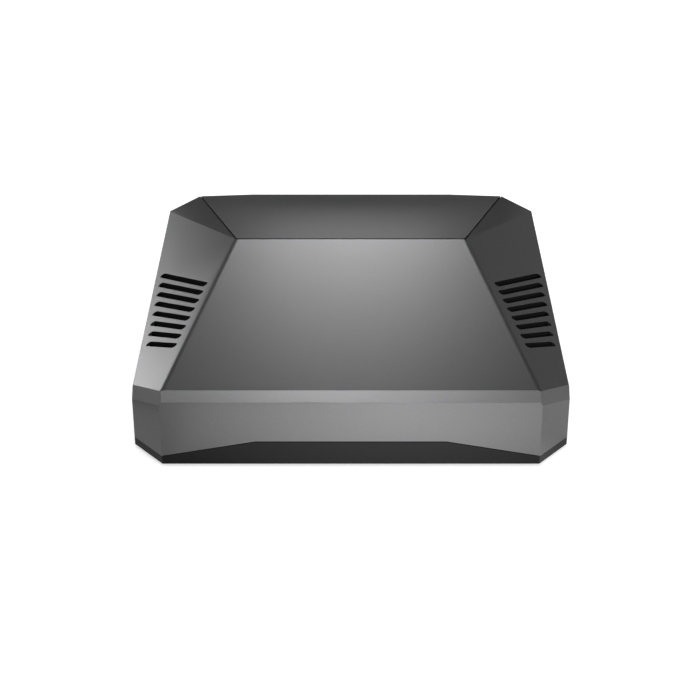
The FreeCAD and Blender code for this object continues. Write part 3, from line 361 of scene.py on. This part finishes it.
# A copy of a CAD node with its edges broken, as the real piece has them
def softCopy(node, pieceName, width, segments=2, sharpAngle=18):
    thing = copyOf(cadNodes[node], pieceName, Matrix.Identity(4))
    editMesh(thing)
    bpy.ops.mesh.select_all(action="SELECT")
    bpy.ops.mesh.remove_doubles(threshold=meshCare["weld"] * mm)
    bpy.ops.mesh.dissolve_limited(angle_limit=math.radians(meshCare["flatAngle"]))
    leaveMesh()
    addModifier(thing, "BEVEL", width=width * mm, segments=segments, limit_method="ANGLE",
                angle_limit=math.radians(sharpAngle), use_clamp_overlap=True)
    return finishPiece(thing, node, nodeFinish[node], sharpAngle=sharpAngle)


softEdges = {  # name of the piece and how far its edges are broken, in millimetres
    "top_shell": ("shellBody", 0.12), "rear_cover": ("coverPlate", 0.04), "base_tray": ("trayBody", 0.15),
    "fan_frame": ("fanFrame", 0.2), "fan_rotor": ("fanRotor", 0.12), "heat_pads": ("heatPads", 0.1),
    "control_board": ("controlBoard", 0.06), "adapter_board": ("adapterBoard", 0.06),
    "computer_socket": ("computerSocket", 0.15), "header_block": ("headerBlock", 0.06),
    "header_pins": ("headerPins", 0.12), "mode_header": ("modeHeader", 0.12),
    "mode_pins": ("modePins", 0.12), "mode_jumper": ("modeJumper", 0.12),
    "power_inlet": ("powerInlet", 0.06), "inlet_tongue": ("inletTongue", 0.08),
    "display_socket": ("displaySocket", 0.1), "display_tongue": ("displayTongue", 0.12),
    "display_plug": ("displayPlug", 0.2), "audio_plug": ("audioPlug", 0.2),
    "audio_socket": ("audioSocket", 0.15), "button_switch": ("buttonSwitch", 0.15),
    "switch_plunger": ("switchPlunger", 0.12), "controller_chip": ("controllerChip", 0.08),
}
softPieces = {node: softCopy(node, *settings) for node, settings in softEdges.items()}
print("edges broken:", len(softPieces), "pieces")

# The shell and the cover get a dark inside finish, laid on as painted shade in the slots, under the roof
# and at the seams between them
insideAndPaintedShade = {"seamReach": 0.85, "slotReach": 4.0, "wall": 1.8, "clear": 0.05}


def treeOf(things):
    corners = []
    outlines = []
    for mesh in [thing.data for thing in things]:
        outlines += [[len(corners) + index for index in face.vertices] for face in mesh.polygons]
        corners += [vertex.co for vertex in mesh.vertices]
    return BVHTree.FromPolygons(corners, outlines)


def paintShadeInside(thing, other):
    both = treeOf([thing, other])
    beside = treeOf([other])
    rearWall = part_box("top_shell")[1].y - insideAndPaintedShade["wall"] * mm
    thing.data.materials.append(materials["insideAndPaintedShade"])
    for face in thing.data.polygons:
        start = face.center + face.normal * insideAndPaintedShade["clear"] * mm
        inSlot = both.ray_cast(start, face.normal, insideAndPaintedShade["slotReach"] * mm)[0] is not None
        underRoof = both.ray_cast(start, Vector((0, 0, 1)))[0] is not None
        atSeam = beside.find_nearest(face.center, insideAndPaintedShade["seamReach"] * mm)[0] is not None
        # painted shade: faces that look into a nearby wall, lie under a roof or sit by the other part get
        # the dark finish
        if (inSlot or underRoof or atSeam) and face.center.y < rearWall:
            face.material_index = 1


paintShadeInside(softPieces["top_shell"], softPieces["rear_cover"])
paintShadeInside(softPieces["rear_cover"], softPieces["top_shell"])
print("inside of the shell darkened")


# The boxes of the separate solids in a CAD node
def solidBoxes(node):
    loose = copyOf(cadNodes[node], "loose", Matrix.Identity(4))
    editMesh(loose)
    bpy.ops.mesh.select_all(action="SELECT")
    bpy.ops.mesh.remove_doubles(threshold=meshCare["weld"] * mm)
    bpy.ops.mesh.separate(type="LOOSE")
    leaveMesh()
    boxes = []
    for part in list(bpy.context.selected_objects):
        corners = [vertex.co for vertex in part.data.vertices]
        low = Vector([min(corner[axis] for corner in corners) for axis in range(3)])
        high = Vector([max(corner[axis] for corner in corners) for axis in range(3)])
        boxes.append((low, high))
        bpy.data.objects.remove(part)
    return sorted(boxes, key=lambda box: tuple(box[0]))


# Screws: round head with a cross recess, ringed shank with a blunt tip
screw = {"sides": 32, "headHeight": 0.9, "rim": 0.28, "rimSteps": 4, "shank": 1.15, "core": 0.92,
         "pitch": 0.6, "tip": 0.5, "tipSize": 0.6, "recessWidth": 0.55, "recessLength": 2.3,
         "recessDepth": 0.55, "recessEnd": 0.6, "recessTurns": (0, 90)}
screwSets = {  # piece, and whether the head is above
    "case_screws": ("caseScrew", False), "control_screws": ("controlScrew", False),
    "fan_screws": ("fanScrew", False), "adapter_screws": ("adapterScrew", True),
}


def makeScrew(headRadius, length):  # head below the seat at height 0, shank upwards
    headHeight = screw["headHeight"] * mm
    tip = screw["tip"] * mm
    thing = newShape(bpy.ops.mesh.primitive_cylinder_add, vertices=screw["sides"], radius=headRadius,
                     depth=headHeight, location=(0, 0, -headHeight / 2))
    settle(thing)
    editMesh(thing)
    pickFaces(thing, facing((0, 0, -1)))
    bevelPicked(screw["rim"] * mm, screw["rimSteps"])
    pickFaces(thing, facing((0, 0, 1)))
    insetPicked(headRadius - screw["shank"] * mm)
    turns = int((length - tip) / (screw["pitch"] * mm))
    step = (length - tip) / (2 * turns)
    height = 0.0
    for ridge in range(2 * turns):  # ridge and groove in turn
        pullPicked((0, 0, step))
        height += step
        inwards = ridge % 2 == 0
        resizePicked(screw["core"] / screw["shank"] if inwards else screw["shank"] / screw["core"], height)
    pullPicked((0, 0, tip))
    resizePicked(screw["tipSize"], length)
    leaveMesh()
    for turn in screw["recessTurns"]:
        cutRecess(thing, -headHeight, turn)
    return thing


def cutRecess(thing, face, turn):  # one bar of the cross, narrower at its bottom
    depth = screw["recessDepth"] * mm
    bar = newShape(bpy.ops.mesh.primitive_cube_add, size=1.0, location=(0, 0, face),
                   rotation=(0, 0, math.radians(turn)))
    bar.scale = (screw["recessLength"] * mm, screw["recessWidth"] * mm, 2 * depth)
    settle(bar)
    editMesh(bar)
    pickFaces(bar, facing((0, 0, 1)))
    resizePicked(screw["recessEnd"], face + depth)
    leaveMesh()
    addModifier(thing, "BOOLEAN", operation="DIFFERENCE", object=bar, solver="EXACT")
    bpy.data.objects.remove(bar)


for node, (pieceName, headAbove) in screwSets.items():
    boxes = solidBoxes(node)
    low, high = boxes[0]
    headHeight = screw["headHeight"] * mm
    pattern = makeScrew((high.x - low.x) / 2, high.z - low.z - headHeight)
    for number, (low, high) in enumerate(boxes, start=1):
        middle = middleOf(low, high)
        seat = high.z - headHeight if headAbove else low.z + headHeight
        place = Matrix.Translation((middle.x, middle.y, seat))
        if headAbove:
            place = place @ Matrix.Rotation(math.pi, 4, "X")
        finishPiece(copyOf(pattern, f"{pieceName}{number}", place), node, nodeFinish[node])
    bpy.data.objects.remove(pattern)
    print("screws made:", pieceName, len(boxes))

# Rubber feet: rounded rim and a shallow dish below
foot = {"sides": 48, "rim": 0.35, "rimSteps": 4, "ring": 1.3, "dish": 0.12, "dishSteps": 2}


def makeFoot(low, high):
    height = high.z - low.z
    thing = newShape(bpy.ops.mesh.primitive_cylinder_add, vertices=foot["sides"],
                     radius=(high.x - low.x) / 2, depth=height, location=(0, 0, height / 2))
    settle(thing)
    editMesh(thing)
    pickFaces(thing, facing((0, 0, -1)))
    bevelPicked(foot["rim"] * mm, foot["rimSteps"])
    pickFaces(thing, facing((0, 0, -1)))
    insetPicked(foot["ring"] * mm)
    pullPicked((0, 0, foot["dish"] * mm))
    bevelPicked(foot["dish"] * mm, foot["dishSteps"])
    leaveMesh()
    return thing


footBoxes = solidBoxes("rubber_feet")
footPattern = makeFoot(*footBoxes[0])
for number, (low, high) in enumerate(footBoxes, start=1):
    middle = middleOf(low, high)
    place = Matrix.Translation((middle.x, middle.y, low.z))
    finishPiece(copyOf(footPattern, f"rubberFoot{number}", place), "rubber_feet", "footRubber")
bpy.data.objects.remove(footPattern)
print("feet made:", len(footBoxes))

# Magnets: plated discs with broken rims, square to the cover's slope
magnet = {"sides": 40, "radius": 1.92, "height": 0.88, "rim": 0.14, "rimSteps": 3, "upLimit": 0.5}


def makeMagnet():
    thing = newShape(bpy.ops.mesh.primitive_cylinder_add, vertices=magnet["sides"],
                     radius=magnet["radius"] * mm, depth=magnet["height"] * mm)
    editMesh(thing)
    pickFaces(thing, lambda face: abs(face.normal.z) > meshCare["square"])
    bevelPicked(magnet["rim"] * mm, magnet["rimSteps"])
    leaveMesh()
    return thing


upperFaces = [face for face in cadNodes["rear_cover"].data.polygons if face.normal.z > magnet["upLimit"]]
coverTop = max(upperFaces, key=lambda face: face.area)
slopeTurn = Vector((0, 0, 1)).rotation_difference(coverTop.normal).to_matrix().to_4x4()
magnetPattern = makeMagnet()
for node, pieceName in (("cover_magnets", "coverMagnet"), ("deck_magnets", "deckMagnet")):
    for number, (low, high) in enumerate(solidBoxes(node), start=1):
        place = Matrix.Translation(middleOf(low, high)) @ slopeTurn
        finishPiece(copyOf(magnetPattern, f"{pieceName}{number}", place), node, nodeFinish[node])
bpy.data.objects.remove(magnetPattern)
print("magnets made")

# Power button: a cap with a rounded rim and a dished face on its flange
button = {"sides": 56, "flange": 0.8, "cap": 2.2, "rim": 0.4, "rimSteps": 4, "land": 0.5, "dish": 0.22,
          "dishSteps": 3, "faceReach": 0.01}


def makeButton():
    low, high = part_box("power_button")
    middle = middleOf(low, high)
    radius = (high.x - low.x) / 2
    flange = button["flange"] * mm
    thing = newShape(bpy.ops.mesh.primitive_cylinder_add, vertices=button["sides"], radius=radius,
                     depth=flange, location=(middle.x, low.y + flange / 2, middle.z),
                     rotation=alongY)
    thing.name = "powerButton"
    settle(thing)
    outwards = facing((0, 1, 0))
    editMesh(thing)
    pickFaces(thing, outwards)
    insetPicked(radius - button["cap"] * mm)
    pullPicked((0, high.y - low.y - flange, 0))
    bevelPicked(button["rim"] * mm, button["rimSteps"])
    capFace = high.y - button["faceReach"] * mm
    pickFaces(thing, lambda face: outwards(face) and face.center.y > capFace)
    insetPicked(button["land"] * mm)
    pullPicked((0, -button["dish"] * mm, 0))
    bevelPicked(button["dish"] * mm, button["dishSteps"])
    leaveMesh()
    finishPiece(thing, "power_button", "buttonPlastic")


makeButton()
print("button made")

# Contacts on the tongues: thin strips, half sunk
contactRows = {  # node, count, pitch, width, length, set back from the tongue's end, in millimetres
    "displayContacts": ("display_tongue", 10, 1.0, 0.5, 6.0, 0.5),
    "inletContacts": ("inlet_tongue", 12, 0.5, 0.26, 3.6, 0.4),
}
contact = {"height": 0.12, "edge": 0.04, "edgeSteps": 2}


def makeContacts(pieceName, node, count, pitch, width, length, setback):
    low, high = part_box(node)
    middle = middleOf(low, high)
    along = high.y - (setback + length / 2) * mm
    strips = []
    for face in (low.z, high.z):
        for index in range(count):
            across = middle.x + (index - (count - 1) / 2) * pitch * mm
            strip = newShape(bpy.ops.mesh.primitive_cube_add, size=1.0, location=(across, along, face))
            strip.scale = (width * mm, length * mm, contact["height"] * mm)
            strips.append(strip)
    bpy.ops.object.select_all(action="DESELECT")
    for strip in strips:
        strip.select_set(True)
    bpy.ops.object.transform_apply()
    bpy.context.view_layer.objects.active = strips[0]
    bpy.ops.object.join()
    thing = strips[0]
    thing.name = pieceName
    addModifier(thing, "BEVEL", width=contact["edge"] * mm, segments=contact["edgeSteps"])
    finishPiece(thing, node, "giltPins", stands=False)


for pieceName, row in contactRows.items():
    makeContacts(pieceName, *row)
print("contacts made")

# Plated sleeve in the mouth of the audio socket
sleeve = {"sides": 48, "radius": 1.79, "wall": 0.16, "length": 2.4, "setback": 0.3, "edge": 0.05,
          "edgeSteps": 2, "inwards": -1.0}


def makeSleeve():
    low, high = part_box("audio_socket")
    middle = middleOf(low, high)
    along = high.y - (sleeve["setback"] + sleeve["length"] / 2) * mm
    thing = newShape(bpy.ops.mesh.primitive_cylinder_add, vertices=sleeve["sides"],
                     radius=sleeve["radius"] * mm, depth=sleeve["length"] * mm, end_fill_type="NOTHING",
                     location=(middle.x, along, middle.z), rotation=alongY)
    thing.name = "audioSleeve"
    settle(thing)
    addModifier(thing, "SOLIDIFY", thickness=sleeve["wall"] * mm, offset=sleeve["inwards"])
    addModifier(thing, "BEVEL", width=sleeve["edge"] * mm, segments=sleeve["edgeSteps"],
                limit_method="ANGLE")
    finishPiece(thing, "audio_socket", "platedSteel", stands=False)


makeSleeve()
print("sleeve made")

# Fan connector: an open box with four pins
connector = {"wall": 0.6, "depth": 3.2, "edge": 0.12, "edgeSteps": 2, "pins": 4, "pitch": 0.9, "pin": 0.35,
             "pinRise": 2.6, "pinEdge": 0.1, "pinEdgeSteps": 2}


def makeConnector():
    low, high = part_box("fan_connector")
    middle = middleOf(low, high)
    depth = connector["depth"] * mm
    thing = newShape(bpy.ops.mesh.primitive_cube_add, size=1.0, location=middle)
    thing.name = "fanConnector"
    thing.scale = high - low
    settle(thing)
    editMesh(thing)
    pickFaces(thing, facing((0, 0, 1)))
    insetPicked(connector["wall"] * mm)
    pullPicked((0, 0, -depth))
    leaveMesh()
    addModifier(thing, "BEVEL", width=connector["edge"] * mm, segments=connector["edgeSteps"],
                limit_method="ANGLE")
    finishPiece(thing, "fan_connector", "whiteNylon")
    for index in range(connector["pins"]):
        across = middle.x + (index - (connector["pins"] - 1) / 2) * connector["pitch"] * mm
        makeConnectorPin(f"fanConnectorPin{index + 1}", Vector((across, middle.y, high.z - depth)))


def makeConnectorPin(pieceName, bottom):
    rise = connector["pinRise"] * mm
    pin = newShape(bpy.ops.mesh.primitive_cube_add, size=1.0, location=bottom + Vector((0, 0, rise / 2)))
    pin.name = pieceName
    pin.scale = (connector["pin"] * mm, connector["pin"] * mm, rise)
    settle(pin)
    editMesh(pin)
    pickFaces(pin, facing((0, 0, 1)))
    bevelPicked(connector["pinEdge"] * mm, connector["pinEdgeSteps"])
    leaveMesh()
    finishPiece(pin, "fan_connector", "giltPins", stands=False)


makeConnector()
print("fan connector made")

# Floor, light and camera, in metres
studio = {"floorSize": 12.0, "floorColour": (0.93, 0.93, 0.93), "floorRoughness": 0.9, "floorLift": 0.58,
          "ambient": 0.45, "mirrored": 0.8, "cardColour": (0.02, 0.02, 0.02), "cardRoughness": 1.0}
lamps = {  # place, size across and up, power, and whether the metal mirrors it
    "rearBox": ((0.0, 0.6, 0.53), 0.15, 0.24, 0.85, True),
    "bevelBox": ((0.0, -0.3, 0.8), 0.06, 0.15, 0.88, True),
    "leftBox": ((-0.62, 0.7, 0.22), 0.2, 0.2, 0.72, True),
    "frontFill": ((0.75, -0.65, 0.3), 0.5, 0.4, 5.0, False),
}
cards = {  # only reflections show them: place, size across and up, turn in degrees about x and z, glow
    "ceilingCard": ((0.0, 0.1, 0.9), 3.0, 1.7, 0, 0, 0.0),
    "rightCard": ((0.75, 0.75, 0.5), 1.0, 0.9, 90, -45, 0.15),
    "horizonCard": ((-0.06, 0.95, 0.2), 0.84, 0.38, 90, 0, 0.0),
    "leftGapCard": ((-0.36, 0.8, 0.57), 0.5, 0.5, 57, 24, 0.0),
    "rightGapCard": ((0.34, 0.8, 0.57), 0.5, 0.5, 57, -24, 0.0),
    "leftFloorCard": ((-0.17, 0.08, 0.001), 0.2, 0.26, 0, 0, 0.0),
    "rightFloorCard": ((0.17, 0.11, 0.001), 0.2, 0.2, 0, 0, 0.0),
    "frontFloorCard": ((-0.11, -0.1, 0.0008), 0.14, 0.14, 0, 0, 0.45),
    "edgeCard": ((0.0, 0.076, 0.0175), 0.11, 0.035, 90, 0, 0.0),
    "rearGlowCard": ((0.0, 0.9, 0.17), 0.15, 0.2, 90, 0, 0.75),
    "wallCard": ((0.011, -0.085, 0.001), 0.11, 0.12, 0, 0, 2.4),
}
wallFade = 2  # the wall's card fades out to its edges
view = {"place": (-0.0002, -0.3474, 0.1756), "tilt": 63.57, "lens": 79.2, "sensor": 36.0, "nearest": 0.01}

floor = newShape(bpy.ops.mesh.primitive_plane_add, size=studio["floorSize"], location=(0, 0, 0))
floor.name = "floor"
floorFinish = Finish("paleFloor")
floorFinish.set(**{"Base Color": (*studio["floorColour"], 1), "Roughness": studio["floorRoughness"]})
seenDirectly = floorFinish.node("ShaderNodeLightPath", {}, {}, "Is Camera Ray")
glow = floorFinish.node("ShaderNodeEmission", {}, {"Strength": seenDirectly * studio["floorLift"]})
paper = Wire(floorFinish, floorFinish.shader.outputs[0])
whitened = floorFinish.node("ShaderNodeAddShader", {}, {0: paper, 1: glow})
floorFinish.plug(floorFinish.tree.nodes["Material Output"].inputs["Surface"], whitened)
floor.data.materials.append(floorFinish.material)

# The surround is white to the eye, a little darker in reflections, and dim as a light
world = bpy.data.worlds.new("studio")
bpy.context.scene.world = world
world.use_nodes = True
surround = Graph(world.node_tree)
ray = world.node_tree.nodes.new("ShaderNodeLightPath")
seen = Wire(surround, ray.outputs["Is Camera Ray"]) * (1 - studio["ambient"])
mirrored = Wire(surround, ray.outputs["Is Glossy Ray"]) * (studio["mirrored"] - studio["ambient"])
background = world.node_tree.nodes["Background"]
surround.plug(background.inputs["Color"], white)
surround.plug(background.inputs["Strength"], seen + mirrored + studio["ambient"])

for lampName, (place, across, up, power, inMetal) in lamps.items():
    bpy.ops.object.light_add(type="AREA", location=place)
    lamp = bpy.context.active_object
    lamp.name = lampName
    lamp.data.shape = "RECTANGLE"
    lamp.data.size = across
    lamp.data.size_y = up
    lamp.data.energy = power
    lamp.rotation_euler = Vector(place).to_track_quat("Z", "Y").to_euler()
    lamp.visible_camera = False
    lamp.visible_glossy = inMetal


def makeCard(cardName, place, across, up, tilt, turn, glow):
    card = newShape(bpy.ops.mesh.primitive_plane_add, size=1.0, location=place,
                    rotation=(math.radians(tilt), 0, math.radians(turn)))
    card.name = cardName
    card.scale = (across, up, 1)
    finish = Finish(cardName)
    finish.set(**{"Base Color": (*studio["cardColour"], 1), "Roughness": studio["cardRoughness"],
                  "Emission Color": white, "Emission Strength": glow})
    card.data.materials.append(finish.material)
    for unseen in ("visible_camera", "visible_diffuse", "visible_shadow", "visible_transmission"):
        setattr(card, unseen, False)
    return finish


cardFinishes = {cardName: makeCard(cardName, *settings) for cardName, settings in cards.items()}
fading = cardFinishes["wallCard"]
spread = fading.node("ShaderNodeMapping", {}, {"Vector": fading.place, "Scale": (wallFade,) * 3})
fading.set(Alpha=fading.node("ShaderNodeTexGradient", {"gradient_type": "SPHERICAL"}, {"Vector": spread}))

bpy.ops.object.camera_add(location=view["place"], rotation=(math.radians(view["tilt"]), 0, 0))
camera = bpy.context.active_object
camera.data.lens = view["lens"]
camera.data.sensor_width = view["sensor"]
camera.data.clip_start = view["nearest"]
bpy.context.scene.camera = camera
bpy.context.scene.view_settings.view_transform = "Standard"
print("studio ready")
